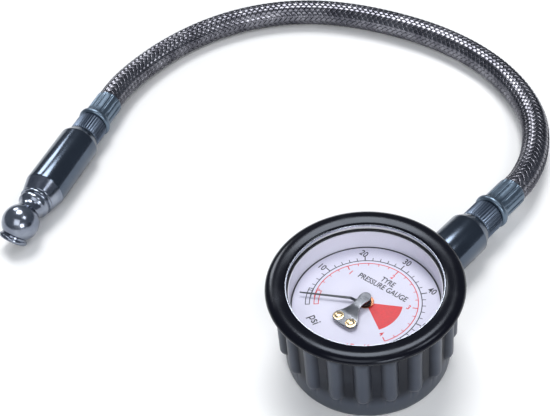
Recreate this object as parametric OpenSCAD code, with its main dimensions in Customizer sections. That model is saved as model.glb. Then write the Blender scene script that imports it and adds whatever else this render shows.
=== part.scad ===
// Dial tyre pressure gauge in a ribbed rubber boot, with a braided hose and
// an angled ball-foot chuck. Millimetres. The origin is the centre of the
// boot's underside. +Z points up through the dial and +Y along the stem,
// which is the dial's 12 o'clock.

/* [Gauge case] */
// Outer radius of the steel case
case_r = 25.7; // [24:0.1:31]
// Thickness of the case wall
case_wall = 0.7; // [0.5:0.1:1]
// Height of the case rim above the resting surface
case_top = 31.9; // [30:0.1:36]
// Height of the dial's printed face above the resting surface
dial_z = 24.6; // [24:0.1:26]
// Thickness of the dial plate
dial_t = 0.6; // [0.4:0.1:0.8]
// Thickness of the clear lens
lens_t = 1.35; // [1:0.05:2]
// Thickness of the lens's flat gasket
gasket_t = 0.5; // [0.3:0.1:0.8]

/* [Rubber boot] */
// Thickness of the boot's side wall
boot_wall = 1.7; // [1.4:0.1:2.5]
// Thickness of the boot's floor below the case
boot_floor = 2.9; // [2.4:0.1:4]
// How far the rim flange stands out past the case
rim_overhang = 6.3; // [5:0.1:8]
// Height of the rim flange's rounded edge
rim_t = 3; // [2.4:0.1:4]
// Number of grip ribs around the boot
rib_count = 20; // [12:1:22]
// Width of one grip rib
rib_w = 5.2; // [3.5:0.1:5.6]
// How far a rib stands out of the wall
rib_proud = 2.1; // [1:0.1:2.6]
// Height at which the ribs start
rib_foot = 8.5; // [5:0.1:10]

/* [Fittings and hose] */
// Height of the stem's axis above the resting surface
stem_z = 10; // [9.8:0.1:10.4]
// Radius of the gauge's stem
stem_r = 4.8; // [4:0.1:5]
// Outer radius of the two chrome bodies
body_r = 8; // [7.6:0.1:9.6]
// Straight length of the chrome body at the gauge
gauge_body_len = 25.9; // [22:0.1:31.1]
// Straight length of the chrome body at the chuck
chuck_body_len = 27.6; // [24:0.1:33.2]
// Length of the cone at a body's hose end
cone_len = 3.8; // [2:0.1:4.6]
// Radius of the knurled hose end
knurl_r = 6.15; // [5.6:0.05:7]
// Length of the knurled hose end
knurl_len = 8.6; // [6:0.1:10.4]
// Radius of the bead on the ferrule
bead_r = 6.7; // [6:0.1:8]
// Width of the bead on the ferrule
bead_w = 3; // [2:0.1:3.6]
// Outer radius of the crimped ferrule
ferrule_r = 5.5; // [5.4:0.1:6]
// Length of the crimped ferrule
ferrule_len = 11.3; // [9:0.1:13.6]
// Diameter over the braid of the hose
hose_d = 10.4; // [9:0.1:10.6]
// Thickness of the braid
braid_t = 0.9; // [0.6:0.1:1.2]

/* [Chuck] */
// Radius of the ball head
ball_r = 7; // [6.6:0.1:8.4]
// Radius of the hole that goes over the tyre valve
mouth_r = 4.1; // [4:0.05:4.3]
// Depth of that hole down to the seal
mouth_depth = 4.5; // [4.1:0.1:5]
// Tilt of the mouth down from the chuck's axis
mouth_tilt = 45; // [30:1:60]

/* [Movement] */
// Tooth size of the gear pair
gear_module = 0.2; // [0.18:0.01:0.22]
// Teeth on the pointer's pinion
pinion_teeth = 12; // [12:1:14]
// Teeth on the full circle of the sector
sector_teeth = 96; // [88:1:100]
// Mean radius of the bent pressure tube
tube_r = 18.5; // [18.2:0.1:18.8]
// Height of the tube's flat section
tube_h = 7; // [5:0.1:8]
// Thickness of the tube's flat section
tube_t = 1.8; // [1.4:0.1:2]

/* [Hidden] */
$fn = 96;

// Clearances
press_gap = 0.01;       // pressed or clamped on, radial
running_gap = 0.05;     // turns in a bore, radial
slip_gap = 0.1;         // dropped in by hand, radial
free_gap = 0.3;         // clear of a moving neighbour

// Levels from the base up
case_bottom = boot_floor;
case_floor_t = 0.8;
case_in_r = case_r - case_wall;
dial_r = case_in_r - running_gap;
dial_under = dial_z - dial_t;
gasket_z = case_top;
lens_z = gasket_z + gasket_t;
bezel_t = 0.6;
bezel_z = lens_z + lens_t + running_gap;
bezel_top = bezel_z + bezel_t;
bezel_skirt = 4.6;
bezel_r = case_r + press_gap + bezel_t;
lens_r = case_r - slip_gap;
spacer_t = 0.5;
gasket_hold = 0.25;     // how far the gasket reaches over the spacer

// Boot
boot_in_r = case_r + slip_gap;
boot_r = boot_in_r + boot_wall;
rim_r = case_r + rim_overhang;
lip_t = 0.9;
boot_top = bezel_top + press_gap + lip_t;
rim_round = 1.4;
screw_recess_r = 21;
screw_recess_t = 0.9;
rib_turn = 1;

// Stem and chain of fittings at the gauge
boot_clear = 0.6;
gauge_body_y = boot_r + rib_proud + boot_clear;
gauge_cone_y = gauge_body_y + gauge_body_len;
gauge_knurl_y = gauge_cone_y + cone_len;
gauge_bead_y = gauge_knurl_y + knurl_len;
gauge_ferrule_y = gauge_bead_y + bead_w;
hose_start_y = gauge_ferrule_y + ferrule_len;
body_edge = 0.5;
passage_r = 1.3;
spigot_r = 4;
spigot_len = 8;
stem_engage = 8;
washer_t = 1.2;
barb_r = 2.5;
barb_len = 12;
ferrule_bore = hose_d / 2 + slip_gap;
knurl_count = 36;
knurl_cut = 0.35;
crimp_count = 12;
crimp_depth = 0.12;

// Movement levels and centres
block_half = 6;
block_y0 = 13.5;
block_y1 = 22.8;
block_z0 = case_bottom + case_floor_t;
plate_z = 15.6;
plate_t = 1;
plate_top = plate_z + plate_t;
pinion_r = gear_module * pinion_teeth / 2;
sector_r = gear_module * sector_teeth / 2;
gear_centres = pinion_r + sector_r;
sector_z = 17.6;
sector_t = 1;
sector_sweep = 30;
sector_margin = 7;
arm_len = 5;
arm_rest = 180 - sector_sweep / 2;
link_z = sector_z + sector_t + free_gap;
link_t = 0.6;
link_w = 2.4;
link_pin_r = 0.55;
link_play = 0.2;
tail_pin = [-gear_centres + arm_len * cos(arm_rest), arm_len * sin(arm_rest)];
tip_pin = [-16.2, -8];
tube_start = 76;
tube_end = -148;
tip_span = 8.5;
tube_wall = 0.4;
pivot_r = 0.35;
arbor_r = 0.7;
stud_r = 0.8;
pillar_at = [2.5, -10.5];
pillar_r = 1;
plate_half = 6;
plate_end_y = 19.6;
plate_waist_y = 8;
plate_foot_r = 2.9;
plate_stud_r = 3;
screw_at = [3.5, 16.5];
screw_r = 1;
screw_head_r = 1.7;
screw_head_t = 0.9;
spring_z = 20.6;
spring_h = 0.7;
spring_t = 0.18;
spring_in_r = 1.1;
spring_out_r = 4.6;
spring_turns = 3.25;

// Pointer and bridge above the dial
hub_r = 2.7;
hub_t = 0.35;
hub_z = dial_z + free_gap;
needle_t = 0.25;
needle_z = hub_z + hub_t;
needle_out_z = 26;
needle_len = 21.7;
needle_zero = 210;
needle_step = [3.6, 4.9];
bridge_t = 0.6;
bridge_foot_z = 25.6;
bridge_tip_z = 27;
bridge_tip_r = 2;
bridge_foot_r = 2.1;

// Chuck, measured along its own axis from the hose end of its ferrule
chuck_at = [-159.4, 28, 7.6];
chuck_yaw = -69.2;
chuck_lift = 1.1;
chuck_bead = ferrule_len;
chuck_knurl = chuck_bead + bead_w;
chuck_cone = chuck_knurl + knurl_len;
chuck_full = chuck_cone + cone_len;
chuck_taper = chuck_full + chuck_body_len;
taper_len = 5.6;
taper_r = 6.45;
chuck_front = chuck_taper + taper_len;
collar_r = 6.05;
ring_r = 6.5;
ring_len = 1.2;
collar_len = 3;
neck_r = 5;
ball_gap = 12.7;
ball_s = chuck_front + ball_gap;
swivel_r = 4.5;
swivel_len = 13;
face_gap = 0.15;
head_twist = -20;
lip_r = 5.4;
lip_neck_r = mouth_r + 0.7;
lip_root = 4;
lip_from = 5.9;
lip_to = 7.4;
seal_t = 2;
mouth_seat = lip_to - mouth_depth;

// Hose route over the resting surface, a smooth line from ferrule to ferrule
hose_route = [
    [-0.9, 91.2, 9.3], [-4.6, 102.6, 8.1], [-11, 114.2, 7], [-19.2, 124.2, 6.1],
    [-29, 131.8, 5.6], [-39.4, 137.2, 5.3], [-50, 140.8, 5.2], [-61, 142.8, 5.2],
    [-72, 143.4, 5.2], [-83, 142.8, 5.2], [-94, 141, 5.2], [-105.4, 138.2, 5.2],
    [-117, 134.2, 5.2], [-128, 129, 5.2], [-137.4, 122.8, 5.2], [-145.6, 115.4, 5.2],
    [-152.6, 106.8, 5.2], [-158.2, 97.4, 5.2], [-162.4, 87.2, 5.2], [-165.1, 76.4, 5.3],
    [-166.3, 65.2, 5.6], [-166, 54, 6], [-164.6, 44, 6.6], [-162.3, 35.6, 7.2]
];
hose_sides = 12;

// ---------------------------------------------------------------- placing

module along_stem(y) {
    translate([0, y, stem_z]) rotate([-90, 0, 0]) children();
}

module along_chuck(s = 0) {
    translate(chuck_at) rotate([0, 90 - chuck_lift, chuck_yaw]) translate([0, 0, s]) children();
}

// Frame of the mouth: +Z runs out of the ball along the mouth's axis
module at_mouth() {
    along_chuck(ball_s) rotate([0, 0, head_twist]) rotate([0, mouth_tilt, 0]) children();
}

module both_sides(at) {
    for (side = [-1, 1]) translate([side * at.x, at.y, 0]) children();
}

module ring(r_out, r_in, h) {
    difference() {
        cylinder(r = r_out, h = h);
        translate([0, 0, -1]) cylinder(r = r_in, h = h + 2);
    }
}

// Points on an arc, for outlines
function arc(c, r, a0, a1, steps) =
    [for (i = [0:steps]) c + r * [cos(a0 + (a1 - a0) * i / steps), sin(a0 + (a1 - a0) * i / steps)]];

// ---------------------------------------------------------------- boot

// Outline of the boot's half section, floor to lip
function boot_outline() = concat(
    [[0, 0]],
    arc([boot_r - 1.2, 1.2], 1.2, -90, 0, 6),
    [[boot_r + 0.4, boot_top - rim_t - 2]],
    [[boot_r + 1, boot_top - rim_t]],
    arc([rim_r - rim_round, boot_top - rim_t + rim_round], rim_round, -90, 0, 8),
    arc([rim_r - rim_round, boot_top - rim_round], rim_round, 0, 75, 8),
    arc([boot_in_r + 0.6, boot_top - 0.6], 0.6, 90, 180, 6),
    [[boot_in_r, bezel_top + press_gap]],
    [[bezel_r + slip_gap, bezel_top + press_gap]],
    [[bezel_r + slip_gap, bezel_top - bezel_skirt - slip_gap]],
    [[boot_in_r, bezel_top - bezel_skirt - slip_gap]],
    [[boot_in_r, boot_floor]],
    [[screw_recess_r, boot_floor], [screw_recess_r, boot_floor - screw_recess_t]],
    [[0, boot_floor - screw_recess_t]]
);

// One rib: a half-round bar with a rounded foot, leaning with the wall
module rib() {
    rib_r = rib_w / 2;
    lean = atan(0.4 / boot_top);
    rib_h = boot_top - rim_t - rib_foot - rib_r + 0.5;
    translate([boot_r + rib_proud - rib_r, 0, rib_foot + rib_r]) rotate([0, lean, 0]) {
        cylinder(r = rib_r, h = rib_h, $fn = 32);
        sphere(r = rib_r, $fn = 32);
    }
}

module rubber_boot() {
    color("#1c1e22") difference() {
        union() {
            rotate_extrude() polygon(boot_outline());
            for (i = [0:rib_count - 1]) rotate([0, 0, i * 360 / rib_count + rib_turn]) rib_shell();
        }
        along_stem(0) cylinder(r = stem_r + 0.4, h = rim_r + 5);
    }
}

// Ends each rib halfway into the wall, clear of the cavity that holds the case
module rib_shell() {
    intersection() {
        rib();
        translate([boot_r - boot_wall / 2, -rib_w, 0]) cube([2 * rib_w, 2 * rib_w, boot_top]);
    }
}

// ---------------------------------------------------------------- case and glazing

module gauge_case() {
    edge = 1.2;
    color("#8d9095") difference() {
        rotate_extrude() polygon(concat(
            [[0, case_bottom]],
            arc([case_r - edge, case_bottom + edge], edge, -90, 0, 6),
            [[case_r, case_top], [case_in_r, case_top]],
            [[case_in_r, dial_under], [case_in_r - 0.8, dial_under]],
            [[case_in_r - 0.8, dial_under - 0.6], [case_in_r, dial_under - 1.4]],
            arc([case_in_r - 0.5, case_bottom + case_floor_t + 0.5], 0.5, 0, -90, 4),
            [[0, case_bottom + case_floor_t]]
        ));
        along_stem(0) cylinder(r = stem_r + slip_gap, h = rim_r + 5);
        both_sides(screw_at) translate([0, 0, case_bottom - 1]) cylinder(r = screw_r + slip_gap, h = 4);
    }
}

module bezel_ring() {
    color("#d6d8dc") rotate_extrude() polygon([
        [case_r + press_gap, bezel_top - bezel_skirt], [bezel_r, bezel_top - bezel_skirt],
        [bezel_r, bezel_top - 0.25], [bezel_r - 0.25, bezel_top],
        [case_in_r + 0.2, bezel_top], [case_in_r + 0.1, bezel_top - 0.2],
        [case_in_r + 0.1, bezel_z], [case_r + press_gap, bezel_z]
    ]);
}

module lens() {
    color("#e8f0f4", 0.3) translate([0, 0, lens_z]) cylinder(r = lens_r, h = lens_t);
}

module lens_gasket() {
    color("#15161a") translate([0, 0, gasket_z])
        ring(case_r - press_gap, dial_r - gasket_hold, gasket_t);
}

module dial_spacer() {
    color("#eceaf2") translate([0, 0, dial_z])
        ring(dial_r, dial_r - spacer_t, case_top - dial_z);
}

module dial_plate() {
    color("#f4f2f8") difference() {
        translate([0, 0, dial_under]) cylinder(r = dial_r, h = dial_t);
        translate([0, 0, dial_under - 1]) cylinder(r = 1.6, h = dial_t + 2);
        both_sides(pillar_at) translate([0, 0, dial_under - 1])
            cylinder(r = pillar_r + slip_gap, h = dial_t + 2);
    }
}

// ---------------------------------------------------------------- bridge

// Pear-shaped outline: a round tip over the pivot, a waist and a wide foot
module bridge_outline() {
    waist = 1.4;
    circle(r = bridge_tip_r);
    polygon(concat(
        [[-bridge_tip_r * cos(20), -bridge_tip_r * sin(20)]],
        [[-waist, -3.7], [-waist - 0.4, -5.6], [-waist - 1.5, -7.6]],
        arc([-pillar_at.x, pillar_at.y], bridge_foot_r, 150, 270, 12),
        arc([pillar_at.x, pillar_at.y], bridge_foot_r, 270, 390, 12),
        [[waist + 1.5, -7.6], [waist + 0.4, -5.6], [waist, -3.7]],
        [[bridge_tip_r * cos(20), -bridge_tip_r * sin(20)]]
    ));
}

// Side view of the bent strip: foot, ramp and raised tip
function bridge_side() = [
    [-14, bridge_foot_z], [-8, bridge_foot_z], [-4.6, bridge_tip_z], [3, bridge_tip_z],
    [3, bridge_tip_z + bridge_t], [-4.8, bridge_tip_z + bridge_t],
    [-8.2, bridge_foot_z + bridge_t], [-14, bridge_foot_z + bridge_t]
];

module bridge() {
    color("#7d8084") difference() {
        intersection() {
            translate([0, 0, dial_z]) linear_extrude(6) bridge_outline();
            rotate([90, 0, 90]) translate([0, 0, -8]) linear_extrude(16) polygon(bridge_side());
        }
        translate([0, 0, dial_z]) cylinder(r = pivot_r + running_gap, h = 6);
        both_sides(pillar_at) translate([0, 0, dial_z]) cylinder(r = 0.6 + press_gap, h = 6);
    }
}

module bridge_pillars() {
    color("#c9a14c") both_sides(pillar_at) difference() {
        translate([0, 0, plate_top]) cylinder(r = pillar_r, h = bridge_foot_z - plate_top);
        translate([0, 0, bridge_foot_z - 3]) cylinder(r = 0.6 + press_gap, h = 4);
    }
}

module bridge_screws() {
    top = bridge_foot_z + bridge_t;
    color("#d8b066") both_sides(pillar_at) difference() {
        union() {
            translate([0, 0, top - bridge_t - 2.4]) cylinder(r = 0.6, h = bridge_t + 2.4);
            translate([0, 0, top]) cylinder(r = 1.75, h = 0.2);
            translate([0, 0, top + 0.2]) cylinder(r1 = 1.25, r2 = 0.95, h = 0.5);
        }
        translate([-2, -0.15, top + 0.45]) cube([4, 0.3, 1]);
    }
}

// ---------------------------------------------------------------- pointer

module pointer() {
    a = needle_step.x;
    b = needle_step.y;
    rise = needle_out_z - needle_z;
    color("#17181c") rotate([0, 0, needle_zero]) difference() {
        union() {
            translate([0, 0, needle_z]) cylinder(r = 1.9, h = needle_t);
            intersection() {
                translate([0, 0, needle_z]) linear_extrude(rise + needle_t)
                    polygon([[1, 0.5], [6, 0.42], [needle_len, 0.2],
                             [needle_len, -0.2], [6, -0.42], [1, -0.5]]);
                rotate([90, 0, 0]) translate([0, 0, -2]) linear_extrude(4) polygon([
                    [1, needle_z], [a, needle_z], [b, needle_out_z], [needle_len, needle_out_z],
                    [needle_len, needle_out_z + needle_t], [b - 0.1, needle_out_z + needle_t],
                    [a - 0.1, needle_z + needle_t], [1, needle_z + needle_t]
                ]);
            }
        }
        translate([0, 0, needle_z - 1]) cylinder(r = 1.3 + press_gap, h = 3);
    }
}

module pointer_hub() {
    color("#b4683e") difference() {
        union() {
            translate([0, 0, hub_z]) cylinder(r = hub_r, h = hub_t);
            translate([0, 0, hub_z]) cylinder(r = 1.3, h = hub_t + needle_t + 0.5);
        }
        translate([0, 0, hub_z - 1]) cylinder(r = 0.5 + press_gap, h = 4);
    }
}

// ---------------------------------------------------------------- gears

function involute(a) = tan(a) - a * PI / 180;
function pressure(base, r) = r <= base ? 0 : acos(base / r);

// Half the angle of a tooth at radius r, in degrees
function tooth_half(teeth, pitch_r, r) =
    let (base = pitch_r * cos(20))
    90 / teeth * 0.86 + (involute(20) - involute(pressure(base, r))) * 180 / PI;

function tooth_flank(teeth, pitch_r, r_root, r_tip, side) = [
    for (i = [0:5]) let (r = r_root + (r_tip - r_root) * (side > 0 ? 5 - i : i) / 5,
                         a = side * tooth_half(teeth, pitch_r, r))
    [r * cos(a), r * sin(a)]
];

module tooth(teeth, pitch_r, r_root, r_tip) {
    polygon(concat(
        tooth_flank(teeth, pitch_r, r_root, r_tip, -1),
        tooth_flank(teeth, pitch_r, r_root, r_tip, 1)
    ));
}

module pinion_arbor() {
    root = pinion_r - 1.1 * gear_module;
    tip = pinion_r + 0.8 * gear_module;
    leaf_h = sector_t + 0.6;
    color("#c9a14c") {
        translate([0, 0, sector_z - 0.3]) linear_extrude(leaf_h) {
            circle(r = root + 0.02);
            for (i = [0:pinion_teeth - 1]) rotate(180 + (i + 0.5) * 360 / pinion_teeth)
                tooth(pinion_teeth, pinion_r, root, tip);
        }
        translate([0, 0, plate_z + 0.1]) cylinder(r = pivot_r, h = plate_t + 0.3);
        translate([0, 0, plate_top + 0.2]) cylinder(r = arbor_r, h = 24 - plate_top - 0.2);
        translate([0, 0, 23]) cylinder(r = 0.5, h = bridge_tip_z - 0.15 - 23);
        translate([0, 0, bridge_tip_z - 0.5]) cylinder(r = pivot_r, h = bridge_t + 0.3);
        translate([0, 0, spring_z - 0.3]) cylinder(r = spring_in_r - 0.1, h = spring_h + 0.6);
    }
}

module sector_gear() {
    root = sector_r - 1.1 * gear_module;
    tip = sector_r + 0.8 * gear_module;
    web_from = -sector_sweep - sector_margin;
    tooth_step = 360 / sector_teeth;
    teeth_low = -floor((sector_sweep + sector_margin) / tooth_step) + 1;
    teeth_high = floor(sector_margin / tooth_step);
    color("#c9a14c") {
        translate([-gear_centres, 0, sector_z]) difference() {
            linear_extrude(sector_t) {
                circle(r = 2.4);
                polygon(concat([[0, 0]], arc([0, 0], root + 0.02, web_from, sector_margin, 40)));
                for (i = [teeth_low:teeth_high]) rotate(i * tooth_step)
                    tooth(sector_teeth, sector_r, root, tip);
                rotate(arm_rest) translate([0, -1]) square([arm_len, 2]);
                rotate(arm_rest) translate([arm_len, 0]) circle(r = 1.2);
            }
            translate([0, 0, -1]) cylinder(r = stud_r + running_gap, h = 4);
            rotate([0, 0, (web_from + sector_margin) / 2]) translate([5.6, 0, -1])
                cylinder(r = 1.6, h = 4);
        }
        translate([tail_pin.x, tail_pin.y, sector_z + sector_t - 0.3])
            cylinder(r = link_pin_r, h = link_t + 2 * free_gap + 0.8);
    }
}

module sector_stud() {
    color("#8d9095") translate([-gear_centres, 0, 0]) {
        translate([0, 0, plate_z]) cylinder(r = stud_r + 0.4, h = sector_z - plate_z - 0.2);
        difference() {
            translate([0, 0, plate_z]) cylinder(r = stud_r, h = 4.4);
            translate([0, 0, sector_z + sector_t + 0.15]) ring(stud_r + 1, stud_r - 0.25, 0.4);
        }
    }
}

module sector_clip() {
    color("#5f6368") translate([-gear_centres, 0, sector_z + sector_t + 0.2]) difference() {
        cylinder(r = 1.6, h = 0.3);
        translate([0, 0, -1]) cylinder(r = stud_r - 0.25 + press_gap, h = 2);
        translate([0, -stud_r + 0.25, -1]) cube([3, 2 * (stud_r - 0.25), 2]);
    }
}

// ---------------------------------------------------------------- hairspring

function spiral(r0, r1, turns, t, steps) = [
    for (i = [0:steps]) let (a = 360 * turns * i / steps, r = r0 + (r1 - r0) * i / steps + t)
    [r * cos(a), r * sin(a)]
];

module hairspring() {
    steps = 24 * spring_turns;
    inner = spiral(spring_in_r, spring_out_r, spring_turns, 0, steps);
    outer = spiral(spring_in_r, spring_out_r, spring_turns, spring_t, steps);
    color("#cdb27a") translate([0, 0, spring_z]) linear_extrude(spring_h)
        polygon(concat(inner, [for (i = [steps:-1:0]) outer[i]]));
}

// Post that holds the hairspring's outer end
module hairspring_stud() {
    end_angle = 360 * spring_turns;
    reach = spring_out_r + spring_t + 0.7;
    color("#c9a14c") translate([reach * cos(end_angle), reach * sin(end_angle), plate_top])
        cylinder(r = 0.7, h = spring_z + spring_h + 0.3 - plate_top);
}

// ---------------------------------------------------------------- link and pressure tube

module link() {
    run = tail_pin - tip_pin;
    turn = atan2(run.y, run.x);
    color("#8d9095") translate([tip_pin.x, tip_pin.y, link_z]) rotate([0, 0, turn]) difference() {
        linear_extrude(link_t) {
            circle(r = 1.4);
            translate([norm(run), 0]) circle(r = 1.6);
            translate([0, -link_w / 2]) square([norm(run), link_w]);
        }
        translate([0, 0, -1]) cylinder(r = link_pin_r + running_gap, h = 3);
        translate([norm(run), 0, -1]) cylinder(r = link_pin_r + link_play, h = 3);
    }
}

// Washers riveted on the two pin ends above the link
module link_clips() {
    color("#5f6368") translate([tip_pin.x, tip_pin.y, link_z + link_t + 0.1])
        ring(1.1, link_pin_r + press_gap, 0.3);
}

module tube_section(grow) {
    half = tube_h / 2 - tube_t / 2;
    r = tube_t / 2 + grow;
    translate([tube_r - r, stem_z - half]) square([2 * r, 2 * half]);
    for (side = [-1, 1]) translate([tube_r, stem_z + side * half]) circle(r = r, $fn = 32);
}

module tube_sweep(from, to, grow) {
    rotate([0, 0, from]) rotate_extrude(angle = to - from) tube_section(grow);
}

module bourdon_tube() {
    color("#b5793e") difference() {
        tube_sweep(tube_end, tube_start, 0);
        tube_sweep(tube_end - 1, tube_start + 1, -tube_wall);
    }
}

module tube_tip() {
    color("#c9a14c") {
        rotate([0, 0, tube_end - tip_span]) rotate_extrude(angle = tip_span)
            translate([tube_r - 1.6, stem_z - tube_h / 2 - 0.3]) square([3.2, tube_h + 0.6]);
        translate([tip_pin.x, tip_pin.y, stem_z + tube_h / 2])
            cylinder(r = link_pin_r, h = link_z + link_t + 0.6 - stem_z - tube_h / 2);
        translate([tip_pin.x, tip_pin.y, stem_z + tube_h / 2])
            cylinder(r = 1, h = link_z - 0.2 - stem_z - tube_h / 2);
    }
}

module socket_block() {
    shank_end = gauge_body_y + stem_engage;
    color("#c9a14c") difference() {
        union() {
            translate([-block_half, block_y0, block_z0])
                cube([2 * block_half, block_y1 - block_y0, plate_z - block_z0]);
            along_stem(block_y1 - 1) cylinder(r = stem_r, h = shank_end - block_y1 + 1);
        }
        along_stem(17) cylinder(r = passage_r, h = shank_end);
        translate([0, 17.9, stem_z]) rotate([0, 90, 0]) cylinder(r = 0.8, h = 5);
        tube_sweep(tube_start - 16, tube_start, press_gap);
        both_sides(screw_at) {
            translate([0, 0, plate_z - 3]) cylinder(r = screw_r + press_gap, h = 4);
            translate([0, 0, block_z0 - 1]) cylinder(r = screw_r + press_gap, h = 3.2);
        }
    }
}

// Plate outline: round ends at the two pillars and the sector's stud
function plate_outline() = concat(
    [[plate_half, plate_end_y], [plate_half, plate_waist_y]],
    arc([pillar_at.x, pillar_at.y], plate_foot_r, 0, -90, 8),
    arc([-pillar_at.x, pillar_at.y], plate_foot_r, -90, -140, 5),
    arc([-gear_centres, 0], plate_stud_r, 220, 120, 10),
    [[-plate_half, plate_waist_y], [-plate_half, plate_end_y]]
);

module movement_plate() {
    color("#c9a14c") translate([0, 0, plate_z]) difference() {
        linear_extrude(plate_t) polygon(plate_outline());
        translate([0, 0, -1]) cylinder(r = pivot_r + running_gap, h = 4);
        translate([-gear_centres, 0, -1]) cylinder(r = stud_r + 0.4 + press_gap, h = 4);
        both_sides(screw_at) translate([0, 0, -1]) cylinder(r = screw_r + slip_gap, h = 4);
    }
}

// Cheese-head screw, head up, thread down, head's underside at z = 0
module small_screw(len) {
    difference() {
        union() {
            translate([0, 0, -len]) cylinder(r = screw_r, h = len + 0.1);
            cylinder(r = screw_head_r, h = screw_head_t - 0.1);
        }
        translate([-3, -0.2, screw_head_t - 0.5]) cube([6, 0.4, 1]);
    }
}

module movement_screws() {
    color("#aeb2b8") both_sides(screw_at) translate([0, 0, plate_top]) small_screw(3.6);
}

module case_screws() {
    color("#aeb2b8") both_sides(screw_at) translate([0, 0, case_bottom])
        mirror([0, 0, 1]) small_screw(2.6);
}

// ---------------------------------------------------------------- fittings

// Half section of a chrome body, from its plain end to its cone
function body_side(len) = [
    [body_r - body_edge, 0], [body_r, body_edge], [body_r, len],
    [knurl_r + 0.05, len + cone_len - 0.4], [knurl_r - 0.35, len + cone_len]
];

module stem_washer() {
    color("#a8552e") along_stem(gauge_body_y + stem_engage) ring(stem_r - 0.2, passage_r + 0.3, washer_t);
}

module gauge_body() {
    all_len = gauge_body_len + cone_len;
    color("#c4c8ce") along_stem(gauge_body_y) difference() {
        rotate_extrude() polygon(concat([[0, 0]], body_side(gauge_body_len), [[0, all_len]]));
        translate([0, 0, -1]) cylinder(r = stem_r + press_gap, h = 1 + stem_engage + washer_t);
        cylinder(r = passage_r + 0.7, h = all_len);
        translate([0, 0, all_len - spigot_len]) cylinder(r = spigot_r + press_gap, h = spigot_len + 1);
    }
}

// Fluted bar: straight knurling cut along the axis
module knurled(r, h) {
    linear_extrude(h) polygon([
        for (i = [0:2 * knurl_count - 1]) let (a = 180 * i / knurl_count, rr = r - (i % 2) * knurl_cut)
        [rr * cos(a), rr * sin(a)]
    ]);
}

// Turned hose end: threaded spigot, knurled collar and barb, in one piece
module hose_end() {
    difference() {
        union() {
            translate([0, 0, -spigot_len + 0.2]) cylinder(r = spigot_r, h = spigot_len);
            knurled(knurl_r, knurl_len);
            cylinder(r = knurl_r - knurl_cut, h = knurl_len);
            translate([0, 0, knurl_len - 0.1]) cylinder(r = barb_r, h = barb_len);
        }
        translate([0, 0, -spigot_len]) cylinder(r = passage_r, h = spigot_len + knurl_len + barb_len + 1);
    }
}

// Crimped shell: a rolled bead at the knurl, then a sleeve over the hose end
module ferrule() {
    bead_half = bead_w / 2;
    difference() {
        rotate_extrude() polygon(concat(
            [[0, 0]],
            arc([bead_r - bead_half, bead_half], bead_half, -70, 70, 12),
            [[ferrule_r, bead_w], [ferrule_r, bead_w + ferrule_len - 0.3]],
            [[ferrule_r - 0.2, bead_w + ferrule_len], [0, bead_w + ferrule_len]]
        ));
        translate([0, 0, -1]) cylinder(r = barb_r + press_gap, h = bead_w + ferrule_len + 2);
        translate([0, 0, bead_w + ferrule_len - 0.8]) cylinder(r = ferrule_bore, h = 2);
        for (i = [0:crimp_count - 1]) rotate([0, 0, i * 360 / crimp_count])
            translate([ferrule_r - crimp_depth, -0.3, bead_w + 0.6]) cube([1, 0.6, ferrule_len + 1]);
    }
}

module gauge_hose_end() {
    color("#9ba0a8") along_stem(gauge_knurl_y) hose_end();
}

module gauge_ferrule() {
    color("#aab0b6") along_stem(gauge_bead_y) ferrule();
}

module chuck_hose_end() {
    color("#9ba0a8") along_chuck(chuck_cone) mirror([0, 0, 1]) hose_end();
}

module chuck_ferrule() {
    color("#aab0b6") along_chuck(chuck_knurl) mirror([0, 0, 1]) ferrule();
}

// ---------------------------------------------------------------- hose

chuck_dir = [cos(chuck_lift) * cos(chuck_yaw), cos(chuck_lift) * sin(chuck_yaw), sin(chuck_lift)];
hose_points = concat([[0, hose_start_y, stem_z]], hose_route, [chuck_at]);

function hose_dir(i) =
    i == 0 ? [0, 1, 0] :
    i == len(hose_points) - 1 ? chuck_dir :
    let (d = hose_points[i + 1] - hose_points[i - 1]) d / norm(d);

function hose_ring(i, r) =
    let (d = hose_dir(i), side = cross(d, [0, 0, 1]) / norm(cross(d, [0, 0, 1])), up = cross(side, d))
    [for (k = [0:hose_sides - 1]) let (a = 360 * (k + 0.5) / hose_sides)
        hose_points[i] + r * cos(a) * side + r * sin(a) * up];

// Faces between ring i and the next, counted from point number base
function hose_band(i, base, turn) = [
    for (k = [0:hose_sides - 1]) let (
        a = base + i * hose_sides + k,
        b = base + i * hose_sides + (k + 1) % hose_sides,
        quad = [a, b, b + hose_sides, a + hose_sides])
    turn ? quad : [for (q = [3:-1:0]) quad[q]]
];

module hose_tube() {
    last = len(hose_points) - 1;
    points = [for (i = [0:last]) each hose_ring(i, hose_d / 2 - braid_t - running_gap)];
    color("#2c2d30") polyhedron(points, concat(
        [[for (k = [0:hose_sides - 1]) k]],
        [for (i = [0:last - 1]) each hose_band(i, 0, false)],
        [[for (k = [hose_sides - 1:-1:0]) last * hose_sides + k]]
    ));
}

module hose_braid() {
    last = len(hose_points) - 1;
    inner_base = (last + 1) * hose_sides;
    points = concat(
        [for (i = [0:last]) each hose_ring(i, hose_d / 2)],
        [for (i = [0:last]) each hose_ring(i, hose_d / 2 - braid_t)]
    );
    caps = [for (k = [0:hose_sides - 1]) let (n = (k + 1) % hose_sides) each [
        [k, n, inner_base + n, inner_base + k],
        [last * hose_sides + n, last * hose_sides + k,
         inner_base + last * hose_sides + k, inner_base + last * hose_sides + n]
    ]];
    color("#b9bcc2") polyhedron(points, concat(
        [for (i = [0:last - 1]) each hose_band(i, 0, false)],
        [for (i = [0:last - 1]) each hose_band(i, inner_base, true)],
        caps
    ));
}

// ---------------------------------------------------------------- chuck

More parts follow.
